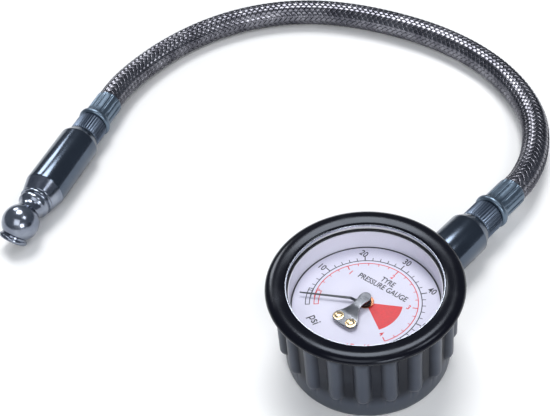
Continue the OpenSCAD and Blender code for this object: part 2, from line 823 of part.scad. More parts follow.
module chuck_body() {
    body_len = chuck_front - chuck_cone;
    color("#c4c8ce") along_chuck(chuck_cone) difference() {
        rotate_extrude() polygon([
            [0, 0], [knurl_r - 0.35, 0], [knurl_r + 0.05, 0.4], [body_r, cone_len],
            [body_r, cone_len + chuck_body_len], [taper_r, body_len - 0.3],
            [taper_r - 0.3, body_len], [0, body_len]
        ]);
        translate([0, 0, -1]) cylinder(r = spigot_r + press_gap, h = spigot_len + 1);
        cylinder(r = passage_r + 0.7, h = body_len);
        translate([0, 0, body_len - swivel_len - 0.5])
            cylinder(r = swivel_r + running_gap, h = swivel_len + 1);
        translate([0, 0, body_len - swivel_len + 2]) cylinder(r = swivel_r + 0.6, h = 1);
    }
}

// O-ring in the head's spigot
module swivel_seal() {
    color("#15161a") along_chuck(chuck_front - 5) rotate_extrude()
        translate([swivel_r - 0.75, 0]) circle(r = 0.75, $fn = 32);
}

// Wire ring that keeps the head in the body
module swivel_ring() {
    color("#5f6368") along_chuck(chuck_front - swivel_len + 2.1)
        ring(swivel_r + 0.55, swivel_r - 0.15, 0.8);
}

module ball_head() {
    color("#c4c8ce") difference() {
        union() {
            along_chuck(chuck_front + face_gap) {
                translate([0, 0, -swivel_len]) cylinder(r = swivel_r, h = swivel_len + 0.1);
                cylinder(r = ring_r, h = ring_len);
                translate([0, 0, ring_len - 0.1]) cylinder(r = collar_r, h = collar_len + 0.1);
                translate([0, 0, ring_len + collar_len])
                    cylinder(r = neck_r, h = ball_gap - ring_len - collar_len - 2);
            }
            along_chuck(ball_s) sphere(r = ball_r);
            at_mouth() translate([0, 0, lip_root]) cylinder(r = lip_neck_r, h = lip_from - lip_root + 0.1);
            at_mouth() translate([0, 0, lip_from]) rotate_extrude() polygon(concat(
                [[0, 0], [lip_r - 0.3, 0]],
                arc([lip_r - 0.8, lip_to - lip_from - 0.8], 0.8, 0, 90, 6),
                [[0, lip_to - lip_from]]
            ));
        }
        at_mouth() translate([0, 0, mouth_seat]) cylinder(r = mouth_r, h = mouth_depth + 1);
        at_mouth() translate([0, 0, mouth_seat - seal_t]) cylinder(r = mouth_r + 0.4, h = seal_t);
        at_mouth() translate([0, 0, -1]) cylinder(r = 1.6, h = mouth_seat);
        along_chuck(chuck_front - swivel_len - 1) cylinder(r = passage_r, h = swivel_len + ball_gap + 1);
        along_chuck(chuck_front - 5.8) ring(swivel_r + 1, swivel_r - 1.5, 1.6);
        along_chuck(chuck_front - swivel_len + 1.95) ring(swivel_r + 1, swivel_r - 0.6, 1.1);
    }
}

// Rubber washer that seals on the end of the tyre valve
module valve_seal() {
    color("#1b1b1d") at_mouth() translate([0, 0, mouth_seat - seal_t])
        ring(mouth_r + 0.4 - press_gap, 1.9, seal_t);
}

// Pin that opens the tyre valve's core, on a spoked foot
module depressor_pin() {
    color("#c9a14c") at_mouth() {
        translate([0, 0, mouth_seat - seal_t - 0.7]) cylinder(r = 0.8, h = seal_t + 0.6);
        translate([0, 0, mouth_seat - seal_t - 0.7]) intersection() {
            cylinder(r = 1.6 - press_gap, h = 0.6);
            union() {
                translate([-2, -0.3, 0]) cube([4, 0.6, 1]);
                translate([-0.3, -2, 0]) cube([0.6, 4, 1]);
            }
        }
    }
}

rubber_boot();
gauge_case();
bezel_ring();
lens();
lens_gasket();
dial_spacer();
dial_plate();
bridge();
bridge_pillars();
bridge_screws();
pointer();
pointer_hub();
pinion_arbor();
hairspring();
hairspring_stud();
sector_gear();
sector_stud();
sector_clip();
link();
link_clips();
tube_tip();
bourdon_tube();
socket_block();
movement_plate();
movement_screws();
case_screws();
stem_washer();
gauge_body();
gauge_hose_end();
gauge_ferrule();
hose_tube();
hose_braid();
chuck_ferrule();
chuck_hose_end();
chuck_body();
swivel_seal();
swivel_ring();
ball_head();
valve_seal();
depressor_pin();
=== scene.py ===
import math

import bpy
import numpy as np
from mathutils import Matrix, Vector


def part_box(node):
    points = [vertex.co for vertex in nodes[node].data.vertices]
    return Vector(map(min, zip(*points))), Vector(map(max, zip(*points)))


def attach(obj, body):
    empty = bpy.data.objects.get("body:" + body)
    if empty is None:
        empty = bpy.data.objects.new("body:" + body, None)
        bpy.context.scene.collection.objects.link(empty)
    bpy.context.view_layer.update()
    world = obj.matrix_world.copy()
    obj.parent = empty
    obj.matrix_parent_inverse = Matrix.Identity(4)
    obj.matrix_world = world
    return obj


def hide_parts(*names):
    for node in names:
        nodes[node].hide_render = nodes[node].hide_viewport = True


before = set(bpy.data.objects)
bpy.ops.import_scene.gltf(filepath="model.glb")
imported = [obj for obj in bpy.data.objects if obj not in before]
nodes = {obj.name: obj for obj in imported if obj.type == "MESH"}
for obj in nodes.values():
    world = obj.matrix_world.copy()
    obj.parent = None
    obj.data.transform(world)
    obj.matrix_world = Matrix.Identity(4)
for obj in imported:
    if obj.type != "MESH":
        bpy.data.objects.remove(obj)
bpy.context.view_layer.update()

MM = 0.001

# ---------------------------------------------------------------- camera
# A long lens looks down at the dial from the front right of the gauge, and
# takes in the whole hose and the chuck.
camera_data = bpy.data.cameras.new("camera")
camera = bpy.data.objects.new("camera", camera_data)
bpy.context.scene.collection.objects.link(camera)
camera_data.lens = 81.67
camera_data.sensor_width = 36
camera_data.clip_start = 0.01
camera_data.clip_end = 10
camera_place = Matrix.Translation((0.172763, -0.194887, 0.334962))
camera_turn = Matrix.Rotation(math.radians(47.1744), 4, "Z")
camera_tilt = Matrix.Rotation(math.radians(90 - 45.344), 4, "X")
camera_roll = Matrix.Rotation(math.radians(-6.731), 4, "Z")
camera.matrix_world = camera_place @ camera_turn @ camera_tilt @ camera_roll
bpy.context.scene.camera = camera

# ---------------------------------------------------------------- braided hose
# A black rubber hose in a sleeve of bright stainless wire, woven on a braiding
# machine: twelve flat strands each way, each of four wires side by side, and
# each strand passes over two and under two. Its ends are crimped in ferrules.
HOSE_ROUTE = [
    (0, 0.0828, 0.01), (-0.0009, 0.0912, 0.0093), (-0.0046, 0.1026, 0.0081),
    (-0.011, 0.1142, 0.007), (-0.0192, 0.1242, 0.0061), (-0.029, 0.1318, 0.0056),
    (-0.0394, 0.1372, 0.0053), (-0.05, 0.1408, 0.0052), (-0.061, 0.1428, 0.0052),
    (-0.072, 0.1434, 0.0052), (-0.083, 0.1428, 0.0052), (-0.094, 0.141, 0.0052),
    (-0.1054, 0.1382, 0.0052), (-0.117, 0.1342, 0.0052), (-0.128, 0.129, 0.0052),
    (-0.1374, 0.1228, 0.0052), (-0.1456, 0.1154, 0.0052), (-0.1526, 0.1068, 0.0052),
    (-0.1582, 0.0974, 0.0052), (-0.1624, 0.0872, 0.0052), (-0.1651, 0.0764, 0.0053),
    (-0.1663, 0.0652, 0.0056), (-0.166, 0.054, 0.006), (-0.1646, 0.044, 0.0066),
    (-0.1623, 0.0356, 0.0072), (-0.1594, 0.028, 0.0076),
]
CHUCK_YAW = math.radians(-69.2)
CHUCK_LIFT = math.radians(1.1)
CHUCK_START = Vector(HOSE_ROUTE[-1])
CHUCK_AXIS = Vector((
    math.cos(CHUCK_LIFT) * math.cos(CHUCK_YAW),
    math.cos(CHUCK_LIFT) * math.sin(CHUCK_YAW),
    math.sin(CHUCK_LIFT),
))
STRANDS = 12
WIRES = 4
BRAID_PITCH = 29 * MM
WEAVE_MID = 4.72 * MM
WEAVE_WAVE = 0.27 * MM
WIRE_HEIGHT = 0.18 * MM
STRAND_WIDTH = 0.94
STEPS_PER_TURN = 56
VALLEY, EDGE, UNDERSIDE = 0.25, -0.6, 0.9  # heights in a strand's section, in shares of the wire's
WEAVE_SHARPNESS = 1.5
TUCK = 0.7 * MM  # how far the braid goes on into each ferrule


def smooth_line(points, first_way, last_way, per_span=16):
    """Points close together on one smooth curve through the route."""
    p = np.array(points, float)
    ways = np.gradient(p, axis=0)
    spans = np.linalg.norm(np.diff(p, axis=0), axis=1)
    ways[0] = np.array(first_way) * spans[0]
    ways[-1] = np.array(last_way) * spans[-1]
    line = []
    for i in range(len(p) - 1):
        for t in np.arange(per_span) / per_span:
            a = (1 + 2 * t) * (1 - t) ** 2
            b = t * (1 - t) ** 2
            c = t * t * (3 - 2 * t)
            d = t * t * (t - 1)
            line.append(a * p[i] + b * ways[i] + c * p[i + 1] + d * ways[i + 1])
    line.append(p[-1])
    return np.array(line)


def frames_along(line, count):
    """Even stations on the line: each one's centre, two cross directions and place."""
    gone = np.concatenate([[0], np.cumsum(np.linalg.norm(np.diff(line, axis=0), axis=1))])
    at = np.linspace(0, gone[-1], count)
    centre = np.stack([np.interp(at, gone, line[:, k]) for k in range(3)], axis=1)
    along = np.gradient(centre, axis=0)
    along /= np.linalg.norm(along, axis=1)[:, None]
    side = np.zeros_like(centre)
    side[0] = np.cross(along[0], (0, 0, 1))
    for i in range(1, count):
        turned = side[i - 1] - along[i] * np.dot(side[i - 1], along[i])
        side[i] = turned / np.linalg.norm(turned)
    return centre, side, np.cross(side, along), at


def strand_mesh(hand, number, centre, side, up, at):
    """One flat strand, a closed ribbon with its wires as ridges, rising and dipping as it weaves."""
    across = np.linspace(-1, 1, 2 * WIRES + 1)
    ridge = np.where(np.arange(2 * WIRES + 1) % 2 == 1, 1.0, VALLEY)
    ridge[[0, -1]] = EDGE
    turn = 2 * math.pi * at / BRAID_PITCH
    step = 2 * math.pi / STRANDS
    theta = number * step + hand * turn[:, None] + across[None, :] * STRAND_WIDTH * step / 2
    other = (theta + hand * turn[:, None]) / step
    weave = np.cos(2 * math.pi * (number + other - 0.5) / 4)
    weave = hand * np.tanh(WEAVE_SHARPNESS * weave) / math.tanh(WEAVE_SHARPNESS)
    top = WEAVE_MID + WEAVE_WAVE * weave + ridge[None, :] * WIRE_HEIGHT
    under = WEAVE_MID + WEAVE_WAVE * weave[:, ::WIRES] - UNDERSIDE * WIRE_HEIGHT
    theta = np.concatenate([theta, theta[:, ::-1][:, ::WIRES]], axis=1)
    radius = np.concatenate([top, under[:, ::-1]], axis=1)
    points = (centre[:, None, :] + (radius * np.cos(theta))[..., None] * side[:, None, :]
              + (radius * np.sin(theta))[..., None] * up[:, None, :])
    return points.reshape(-1, 3), points.shape[1]


def braid_layer(name, hand):
    """All the strands that wind one way, as one mesh, and the hose's length between ferrules."""
    line = smooth_line(HOSE_ROUTE, (0, 1, 0), CHUCK_AXIS)
    line = np.concatenate([[line[0] - np.array((0, TUCK, 0))], line,
                           [line[-1] + TUCK * np.array(CHUCK_AXIS)]])
    length = np.linalg.norm(np.diff(line, axis=0), axis=1).sum()
    count = int(length / BRAID_PITCH * STEPS_PER_TURN)
    centre, side, up, at = frames_along(line, count)
    points, faces = [], []
    for number in range(STRANDS):
        strand, around = strand_mesh(hand, number, centre, side, up, at)
        base = len(points) * count * around
        points.append(strand)
        for i in range(count - 1):
            for k in range(around):
                a, b = base + i * around + k, base + i * around + (k + 1) % around
                faces.append((a, a + around, b + around, b))
        faces.append(tuple(base + k for k in range(around)))
        faces.append(tuple(base + (count - 1) * around + k for k in range(around))[::-1])
    mesh = bpy.data.meshes.new(name)
    mesh.from_pydata(np.concatenate(points).tolist(), [], faces)
    piece = bpy.data.objects.new(name, mesh)
    bpy.context.scene.collection.objects.link(piece)
    mesh.shade_smooth()
    return piece, length - 2 * TUCK


def new_material(name, color, metallic=0.0, roughness=0.5):
    """A Principled material whose constants sit on the shader's own sockets."""
    material = bpy.data.materials.new(name)
    material.use_nodes = True
    shader = material.node_tree.nodes["Principled BSDF"]
    shader.inputs["Base Color"].default_value = (*color, 1)
    shader.inputs["Metallic"].default_value = metallic
    shader.inputs["Roughness"].default_value = roughness
    return material, material.node_tree, shader


def node(tree, kind, inputs=(), **settings):
    """Adds one node, with its settings and its inputs' values or links."""
    made = tree.nodes.new(kind)
    for key, value in settings.items():
        setattr(made, key, value)
    for key, value in dict(inputs).items():
        if isinstance(value, bpy.types.NodeSocket):
            tree.links.new(value, made.inputs[key])
        else:
            made.inputs[key].default_value = value
    return made


def noise(tree, scale, detail=3.0, stretch=None, rough=0.5):
    """Noise on object coordinates, in features per metre, stretched along an axis if asked."""
    where = node(tree, "ShaderNodeTexCoord").outputs["Object"]
    if stretch:
        stretched = node(tree, "ShaderNodeMapping", {"Vector": where, "Scale": stretch})
        where = stretched.outputs["Vector"]
    return node(tree, "ShaderNodeTexNoise", {
        "Vector": where, "Scale": scale, "Detail": detail, "Roughness": rough,
    }).outputs["Fac"]


def vary(tree, factor, low, high, out_low, out_high):
    """Maps a factor's range to another range."""
    return node(tree, "ShaderNodeMapRange", {
        "Value": factor, "From Min": low, "From Max": high, "To Min": out_low, "To Max": out_high,
    }).outputs["Result"]


def shades(tree, factor, stops):
    """A colour ramp over the factor."""
    ramp = node(tree, "ShaderNodeValToRGB", {"Fac": factor})
    elements = ramp.color_ramp.elements
    while len(elements) < len(stops):
        elements.new(0.5)
    for element, (place, color) in zip(elements, stops):
        element.position = place
        element.color = (*color, 1)
    return ramp.outputs["Color"]


def bump(tree, shader, height, strength, depth):
    """Turns a height into the shader's normal; depth is in metres."""
    made = node(tree, "ShaderNodeBump", {"Height": height, "Strength": strength, "Distance": depth})
    tree.links.new(made.outputs["Normal"], shader.inputs["Normal"])


def braid_wire():
    """Bright drawn stainless wire, dulled a little unevenly by handling."""
    material, tree, shader = new_material("braid_wire", (0.62, 0.63, 0.66), metallic=1.0)
    patches = noise(tree, 160, 4)
    fine = noise(tree, 2600, 2)
    tree.links.new(shades(tree, patches, [
        (0.3, (0.10, 0.10, 0.12)), (0.55, (0.18, 0.18, 0.205)), (0.75, (0.27, 0.27, 0.30)),
    ]), shader.inputs["Base Color"])
    tree.links.new(vary(tree, fine, 0.3, 0.7, 0.16, 0.34), shader.inputs["Roughness"])
    return material


def hose_core():
    """Matt black rubber with a faint cloth mark."""
    material, tree, shader = new_material("hose_core", (0.012, 0.012, 0.014), roughness=0.75)
    grain = noise(tree, 1800, 3)
    tree.links.new(vary(tree, grain, 0.3, 0.7, 0.62, 0.88), shader.inputs["Roughness"])
    bump(tree, shader, grain, 0.3, 0.05 * MM)
    return material


braid_right, hose_length = braid_layer("hose_braid_right", 1)
braid_left = braid_layer("hose_braid_left", -1)[0]
wire = braid_wire()
for piece in (braid_right, braid_left):
    piece.data.materials.append(wire)
    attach(piece, "gauge")
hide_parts("hose_braid")
nodes["hose_tube"].data.materials.clear()
nodes["hose_tube"].data.materials.append(hose_core())

# ---------------------------------------------------------------- rubber boot
# A thick black rubber boot, moulded in one piece and stretched over the case.
# It has a wide crowned rim round the dial and twenty half-round grip ribs, and
# the stem leaves through a hole in its side.
RIBS = 20
LINES_PER_RIB = 12
RIB_RADIUS = 2.6
RIB_CENTRE = 27.0
RIB_FOOT = 11.1
RIB_TURN = math.radians(1)
WALL_RADIUS = 27.6
NEAR = 0.05  # how near a line or row has to be to count as on it
STEM_HEIGHT = 10
HOLE_RADIUS, HOLE_LENGTH, HOLE_AT = 5.2, 20, 30
WALL_ROWS = (8.7, 9.2, 9.9, 10.7, 11.7, 14, 17, 20, 24, 28, 30.6)
BOOT_PROFILE = [
    (21, 0), (25.9, 0), (26.7, 0.18), (27.3, 0.7), (27.55, 1.4), (WALL_RADIUS, 2.4),
    (WALL_RADIUS, 4.6),
    *((WALL_RADIUS, z) for z in WALL_ROWS),
    (28.3, 31.6), (29.4, 32.1), (30.5, 32.25), (31.3, 32.5), (31.85, 33.0), (32, 33.5),
    (31.8, 34.05), (31.3, 34.6), (30.5, 35.0), (29.5, 35.24), (28.5, 35.28), (27.5, 35.18),
    (26.7, 35.02), (26.1, 34.9), (25.7, 34.78), (25.48, 34.62), (25.45, 34.43), (26.42, 34.42),
    (26.42, 29.7), (25.82, 29.6), (25.82, 2.9), (21, 2.9), (20.9, 2.0),
]


def turned(name, profile, sides):
    """A round piece on +Z, as from a lathe: a disc pulled up and resized station by station."""
    bpy.ops.object.select_all(action="DESELECT")
    radius, height = profile[0]
    bpy.ops.mesh.primitive_circle_add(vertices=sides, radius=radius * MM, fill_type="NGON")
    piece = bpy.context.object
    piece.name = piece.data.name = name
    bpy.ops.object.mode_set(mode="EDIT")
    bpy.ops.mesh.select_all(action="SELECT")
    bpy.ops.transform.translate(value=(0, 0, height * MM))
    for next_radius, next_height in profile[1:]:
        bpy.ops.mesh.extrude_region_move(
            TRANSFORM_OT_translate={"value": (0, 0, (next_height - height) * MM)})
        if next_radius != radius:
            share = next_radius / radius
            bpy.ops.transform.resize(
                value=(share, share, 1), center_override=(0, 0, next_height * MM))
        radius, height = next_radius, next_height
    bpy.ops.mesh.select_all(action="SELECT")
    bpy.ops.mesh.normals_make_consistent(inside=False)
    bpy.ops.object.mode_set(mode="OBJECT")
    return piece


def choose(piece, chosen):
    """Goes into edit mode with only the chosen vertices selected, given as one flag each."""
    bpy.ops.object.mode_set(mode="EDIT")
    bpy.ops.mesh.select_mode(type="VERT")
    bpy.ops.mesh.select_all(action="DESELECT")
    bpy.ops.object.mode_set(mode="OBJECT")
    piece.data.vertices.foreach_set("select", chosen)
    bpy.ops.object.mode_set(mode="EDIT")


def press(piece, chosen, share):
    """Moves the chosen vertices of a round piece to this share of their distance from its axis."""
    choose(piece, chosen)
    bpy.ops.transform.resize(value=(share, share, 1), center_override=(0, 0, 0))
    bpy.ops.object.mode_set(mode="OBJECT")


def lines_of(piece, lines_round, group):
    """Each vertex's place in millimetres, its radius, and which line of its group it stands on."""
    co = np.array([v.co for v in piece.data.vertices]) / MM
    turns = np.arctan2(co[:, 1], co[:, 0]) / (2 * math.pi)
    line = np.round(turns * lines_round).astype(int) % group
    return co, np.hypot(co[:, 0], co[:, 1]), line


def finish_with(piece, kind, **settings):
    """Adds one modifier and applies it."""
    bpy.ops.object.select_all(action="DESELECT")
    bpy.context.view_layer.objects.active = piece
    piece.select_set(True)
    modifier = piece.modifiers.new(kind.lower(), kind)
    for key, value in settings.items():
        setattr(modifier, key, value)
    bpy.ops.object.modifier_apply(modifier=modifier.name)


def smooth_by_angle(piece, degrees):
    """Shades the piece smooth, apart from edges sharper than this."""
    bpy.ops.object.select_all(action="DESELECT")
    bpy.context.view_layer.objects.active = piece
    piece.select_set(True)
    bpy.ops.object.shade_smooth_by_angle(angle=math.radians(degrees))


def raise_ribs(boot):
    """Pulls the wall's lines out row by row, so that each rib is half round with a round foot."""
    line_turn = 2 * math.pi / (RIBS * LINES_PER_RIB)
    co, radius, line = lines_of(boot, RIBS * LINES_PER_RIB, LINES_PER_RIB)
    line = np.minimum(line, LINES_PER_RIB - line)
    on_wall = np.abs(radius - WALL_RADIUS) < NEAR
    for row in WALL_ROWS:
        in_row = on_wall & (np.abs(co[:, 2] - row) < NEAR)
        for k in range(LINES_PER_RIB // 2):
            off = WALL_RADIUS * math.sin(k * line_turn)
            left = RIB_RADIUS ** 2 - off ** 2 - max(0, RIB_FOOT - row) ** 2
            out = RIB_CENTRE + math.sqrt(max(0, left))
            if out > WALL_RADIUS:
                press(boot, in_row & (line == k), out / WALL_RADIUS)


def boot_rubber():
    """Black rubber with a fine grain, shiny on the rim; painted light on the walls, rib tops and
    foot, and painted shade in the grooves.
    """
    material, tree, shader = new_material("boot_rubber", (0.014, 0.016, 0.020), roughness=0.4)
    cloud = noise(tree, 90, 5)
    grain = noise(tree, 1500, 4)
    where = node(tree, "ShaderNodeTexCoord").outputs["Object"]
    height = node(tree, "ShaderNodeSeparateXYZ", {"Vector": where}).outputs["Z"]
    flat = node(tree, "ShaderNodeMapping", {"Vector": where, "Scale": (1, 1, 0)}).outputs["Vector"]
    radius = node(tree, "ShaderNodeVectorMath", {0: flat}, operation="LENGTH").outputs["Value"]
    # Painted light and shade: walls below the rim, rib tops and foot lighter, grooves between the
    # ribs darker.
    below_rim = vary(tree, height, 28 * MM, 32 * MM, 1, 0)
    painted_rib_light = vary(tree, radius, 27.7 * MM, 29.4 * MM, 0.15, 0.6)
    foot = vary(tree, height, 3 * MM, 11 * MM, 0.75, 0)
    uneven = vary(tree, cloud, 0.3, 0.7, -0.07, 0.07)
    foot = node(tree, "ShaderNodeMath", {0: foot, 1: uneven}, operation="ADD").outputs[0]
    painted_wall_light = node(tree, "ShaderNodeMath", {0: painted_rib_light, 1: below_rim, 2: foot},
                operation="MULTIPLY_ADD").outputs[0]
    shader.inputs["Specular IOR Level"].default_value = 0.25
    shader.inputs["Specular Tint"].default_value = (0.78, 0.86, 1, 1)
    tree.links.new(shades(tree, painted_wall_light, [
        (0.04, (0.003, 0.003, 0.006)), (0.16, (0.005, 0.006, 0.011)), (0.6, (0.052, 0.060, 0.080)),
        (0.95, (0.060, 0.070, 0.086)),
    ]), shader.inputs["Base Color"])
    tree.links.new(vary(tree, painted_wall_light, 0, 0.12, 0.17, 0.36), shader.inputs["Roughness"])
    bump(tree, shader, grain, 0.25, 0.04 * MM)
    return material


boot = turned("boot", BOOT_PROFILE, RIBS * LINES_PER_RIB)
raise_ribs(boot)
boot.data.transform(Matrix.Rotation(RIB_TURN, 4, "Z"))
bpy.ops.object.select_all(action="DESELECT")
bpy.ops.mesh.primitive_cylinder_add(vertices=64, radius=HOLE_RADIUS * MM, depth=HOLE_LENGTH * MM)
stem_hole = bpy.context.object
stem_hole.data.transform(
    Matrix.Translation((0, HOLE_AT * MM, STEM_HEIGHT * MM)) @ Matrix.Rotation(math.pi / 2, 4, "X"))
finish_with(boot, "BOOLEAN", operation="DIFFERENCE", object=stem_hole, solver="EXACT")
bpy.data.objects.remove(stem_hole)
smooth_by_angle(boot, 42)
boot.data.materials.clear()
boot.data.materials.append(boot_rubber())
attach(boot, "gauge")
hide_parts("rubber_boot")

# ---------------------------------------------------------------- case and glazing
# A pressed steel case closed by a chromed bezel ring, with a clear lens on a
# black flat gasket, and a white moulded ring between the gasket and the dial.
# The lens is cast plastic, and its cut edge is a pale satin.


def paint(name, material):
    """Gives a CAD node one finish."""
    nodes[name].data.materials.clear()
    nodes[name].data.materials.append(material)


def plated(name, color, low, high, streak=(1, 1, 1), scale=900, wear=0.12, grain=0.06):
    """Plated or polished metal: faint streaks and a roughness that wanders."""
    material, tree, shader = new_material(name, color, metallic=1.0, roughness=low)
    fine = noise(tree, scale, 3, stretch=streak)
    patches = noise(tree, 120, 4)
    dark = tuple(c * (1 - wear) for c in color)
    tree.links.new(shades(tree, patches, [(0.3, dark), (0.7, color)]), shader.inputs["Base Color"])
    tree.links.new(vary(tree, fine, 0.3, 0.7, low, high), shader.inputs["Roughness"])
    bump(tree, shader, fine, grain, 0.02 * MM)
    return material


def moulded(name, color, roughness):
    """Moulded plastic or flat rubber with a slight unevenness."""
    material, tree, shader = new_material(name, color, roughness=roughness)
    grain = noise(tree, 900, 3)
    tree.links.new(vary(tree, grain, 0.3, 0.7, roughness * 0.85, roughness * 1.15),
                   shader.inputs["Roughness"])
    bump(tree, shader, grain, 0.1, 0.02 * MM)
    return material


def lens_clear():
    """Clear cast plastic under a thin gloss, with a pale satin edge where it was cut."""
    material = bpy.data.materials.new("lens_clear")
    material.use_nodes = True
    tree = material.node_tree
    tree.nodes.clear()
    out = node(tree, "ShaderNodeOutputMaterial")
    clear = node(tree, "ShaderNodeBsdfTransparent", {"Color": (0.985, 0.99, 1, 1)})
    gloss = node(tree, "ShaderNodeBsdfGlossy", {"Roughness": 0.03})
    slant = node(tree, "ShaderNodeLayerWeight", {"Blend": 0.5}).outputs["Facing"]
    steep = node(tree, "ShaderNodeMath", {0: slant, 1: 5.0}, operation="POWER").outputs[0]
    share = vary(tree, steep, 0, 1, 0.008, 0.6)
    faces = node(tree, "ShaderNodeMixShader", {0: share, 1: clear.outputs[0], 2: gloss.outputs[0]})
    grain = noise(tree, 900, 3)
    edge = node(tree, "ShaderNodeBsdfPrincipled", {
        "Base Color": (0.80, 0.81, 0.84, 1), "Roughness": vary(tree, grain, 0.3, 0.7, 0.425, 0.575),
    })
    bump(tree, edge, grain, 0.1, 0.02 * MM)
    way = node(tree, "ShaderNodeTexCoord").outputs["Normal"]
    up = node(tree, "ShaderNodeSeparateXYZ", {"Vector": way}).outputs["Z"]
    level = node(tree, "ShaderNodeMath", {0: up}, operation="ABSOLUTE").outputs[0]
    on_face = node(tree, "ShaderNodeMath", {0: level, 1: 0.5}, operation="GREATER_THAN").outputs[0]
    whole = node(tree, "ShaderNodeMixShader", {0: on_face, 1: edge.outputs[0], 2: faces.outputs[0]})
    tree.links.new(whole.outputs[0], out.inputs["Surface"])
    return material


paint("gauge_case", plated("case_steel", (0.30, 0.31, 0.33), 0.3, 0.45))
paint("bezel_ring", plated("bezel_chrome", (0.52, 0.56, 0.64), 0.2, 0.26, grain=0.01))
paint("lens", lens_clear())
seal = moulded("seal_rubber", (0.012, 0.012, 0.014), 0.7)
paint("lens_gasket", seal)
paint("dial_spacer", moulded("white_plastic", (0.78, 0.77, 0.84), 0.35))

# ---------------------------------------------------------------- dial
# A thin plate stoved white and printed in black and red: psi outside in
# black, bar inside in red, a box at each zero and a red sector for 3 to 4 bar.
DIAL_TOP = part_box("dial_plate")[1].z
INK = 0.012 * MM
ZERO = math.radians(210)
FULL = math.radians(240)
PSI_FULL, BAR_FULL = 60, 4
LONG_MARK, SHORT_MARK, BOX_LINE = 0.34, 0.24, 0.26
ZERO_HALF = math.radians(10.8)
PSI_NUMBERS = (  # value, radius, and degrees ahead of its mark
    (10, 21.4, 2.2), (20, 21.3, 1.1), (30, 21.7, 0.4), (40, 21.9, 0.9), (50, 21.5, 0),
    (60, 21.3, 0),
)
# Radii of a black ring painted round the dial's edge as the shadow where the white ring meets the
# dial.
PAINTED_EDGE_SHADOW = (24.42, 23.9)


def dial_enamel():
    """Stoved white enamel with a lilac cast and the faintest orange peel."""
    material, tree, shader = new_material("dial_enamel", (0.69, 0.67, 0.77), roughness=0.4)
    cloud = noise(tree, 70, 4)
    tree.links.new(shades(tree, cloud, [
        (0.3, (0.66, 0.645, 0.75)), (0.7, (0.715, 0.695, 0.79)),
    ]), shader.inputs["Base Color"])
    fine = noise(tree, 700, 2)
    tree.links.new(vary(tree, fine, 0.3, 0.7, 0.34, 0.46), shader.inputs["Roughness"])
    bump(tree, shader, fine, 0.05, 0.02 * MM)
    return material


def ink(name, color):
    """Screen printing ink, a little uneven where it was pulled over the plate."""
    material, tree, shader = new_material(name, color, roughness=0.5)
    pull = noise(tree, 1400, 3)
    light = tuple(c * 1.2 + 0.005 for c in color)
    tree.links.new(shades(tree, pull, [(0.35, color), (0.75, light)]), shader.inputs["Base Color"])
    tree.links.new(vary(tree, pull, 0.3, 0.7, 0.42, 0.6), shader.inputs["Roughness"])
    return material


def polar(radius, angle):
    """The point at this radius and angle on the dial."""
    return radius * math.cos(angle), radius * math.sin(angle)


def arc_band(inner, outer, start, end, steps=64):
    """Outline of a band along an arc, in millimetres."""
    angles = [start + (end - start) * i / steps for i in range(steps + 1)]
    return [polar(outer, a) for a in angles] + [polar(inner, a) for a in reversed(angles)]


def tick(angle, inner, outer, width):
    """Outline of one scale mark."""
    x, y = math.cos(angle), math.sin(angle)
    w = width / 2
    return [(inner * x - w * y, inner * y + w * x), (outer * x - w * y, outer * y + w * x),
            (outer * x + w * y, outer * y - w * x), (inner * x + w * y, inner * y - w * x)]


def box_outline(inner, outer, start, end, line):
    """The outer and inner loops of a box drawn between two radii and two angles."""
    thin = line / ((inner + outer) / 2)
    return [arc_band(inner, outer, start, end, 12),
            arc_band(inner + line, outer - line, start + thin, end - thin, 12)]


def print_shapes(name, outlines):
    """Flat shapes laid on the dial as one thin layer of ink."""
    curve = bpy.data.curves.new(name, "CURVE")
    curve.dimensions = "2D"
    curve.fill_mode = "BOTH"
    curve.extrude = INK
    for outline in outlines:
        spline = curve.splines.new("POLY")
        spline.points.add(len(outline) - 1)
        for point, (x, y) in zip(spline.points, outline):
            point.co = (x * MM, y * MM, 0, 1)
        spline.use_cyclic_u = True
    return as_print(name, curve)


def print_text(name, text, size, at, turn=0.0, stretch=0.85):
    """One word or number laid on the dial."""
    curve = bpy.data.curves.new(name, "FONT")
    curve.body = text
    curve.size = size * MM
    curve.offset = 0.045 * MM
    curve.align_x, curve.align_y = "CENTER", "CENTER"
    curve.extrude = INK
    curve.resolution_u = 4
    place = Matrix.Translation((at[0] * MM, at[1] * MM, 0)) @ Matrix.Rotation(turn, 4, "Z")
    return as_print(name, curve, place @ Matrix.Diagonal((stretch, 1, 1, 1)))


def as_print(name, curve, place=Matrix.Identity(4)):
    """Makes a curve or a word a mesh and lays it on the dial's face."""
    bpy.ops.object.select_all(action="DESELECT")
    piece = bpy.data.objects.new(name, curve)
    bpy.context.scene.collection.objects.link(piece)
    bpy.context.view_layer.objects.active = piece
    piece.select_set(True)
    bpy.ops.object.convert(target="MESH")
    piece = bpy.context.object
    piece.data.transform(Matrix.Translation((0, 0, DIAL_TOP + INK)) @ place)
    return piece


def join_print(name, pieces, material):
    """Joins all the print of one colour and fixes it to the dial."""
    bpy.ops.object.select_all(action="DESELECT")
    for piece in pieces:
        piece.select_set(True)
    bpy.context.view_layer.objects.active = pieces[0]
    bpy.ops.object.join()
    joined = bpy.context.object
    joined.name = joined.data.name = name
    joined.data.materials.clear()
    joined.data.materials.append(material)
    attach(joined, "gauge")
    return joined


def at_psi(value):
    """The pointer's angle at a pressure in psi."""
    return ZERO - FULL * value / PSI_FULL


def at_bar(value):
    """The pointer's angle at a pressure in bar."""
    return ZERO - FULL * value / BAR_FULL


